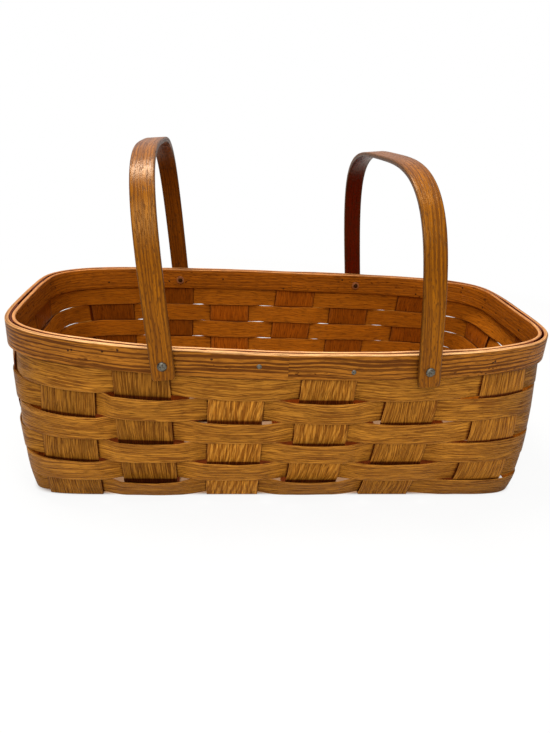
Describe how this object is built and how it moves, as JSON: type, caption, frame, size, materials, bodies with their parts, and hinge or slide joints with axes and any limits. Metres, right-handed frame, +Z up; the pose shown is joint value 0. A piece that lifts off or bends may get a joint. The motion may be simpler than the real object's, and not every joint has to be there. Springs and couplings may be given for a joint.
{
  "type": "foraging basket",
  "caption": "Oblong woven wood splint basket with a banded rim and bentwood swing handles riveted through it, for gathering and carrying mushrooms.",
  "frame": {"origin": "middle of the bottom, on the surface the basket stands on, under the middle of its bounding box", "axes": "+X along the basket, +Y away from its front wall, +Z up"},
  "size_m": [0.525, 0.2904, 0.3138],
  "materials": {
    "stake_oak": "varnished",
    "hoop_oak": "varnished",
    "band_oak": "varnished",
    "handle_oak": "varnished",
    "rivet_steel": "worn"
  },
  "bodies": {
    "basket": {"cross_stake_1": "stake_oak", "cross_stake_2": "stake_oak", "cross_stake_3": "stake_oak", "cross_stake_4": "stake_oak", "cross_stake_5": "stake_oak", "cross_stake_6": "stake_oak", "long_stake_front": "stake_oak", "long_stake_back": "stake_oak", "weaver_hoop_1": "hoop_oak", "weaver_hoop_2": "hoop_oak", "weaver_hoop_3": "hoop_oak", "weaver_hoop_4": "hoop_oak", "weaver_hoop_5": "hoop_oak", "weaver_hoop_6": "hoop_oak", "outer_rim_band": "band_oak", "inner_rim_band": "band_oak", "left_handle_front_rivet": "rivet_steel", "left_handle_front_burr": "rivet_steel", "left_handle_back_rivet": "rivet_steel", "left_handle_back_burr": "rivet_steel", "right_handle_front_rivet": "rivet_steel", "right_handle_front_burr": "rivet_steel", "right_handle_back_rivet": "rivet_steel", "right_handle_back_burr": "rivet_steel"},
    "left_handle": {"left_handle": "handle_oak"},
    "right_handle": {"right_handle": "handle_oak"}
  },
  "joints": [
    {"name": "left_handle_swing", "type": "hinge", "parent": "basket", "child": "left_handle", "pos_m": [-0.11235, 0, 0.14328], "axis": [0.007, -1, 0], "range_deg": [-43, 106.5]},
    {"name": "right_handle_swing", "type": "hinge", "parent": "basket", "child": "right_handle", "pos_m": [0.11287, 0, 0.14329], "axis": [-0.0419, 0.9991, 0], "range_deg": [-31, 118]}
  ]
}
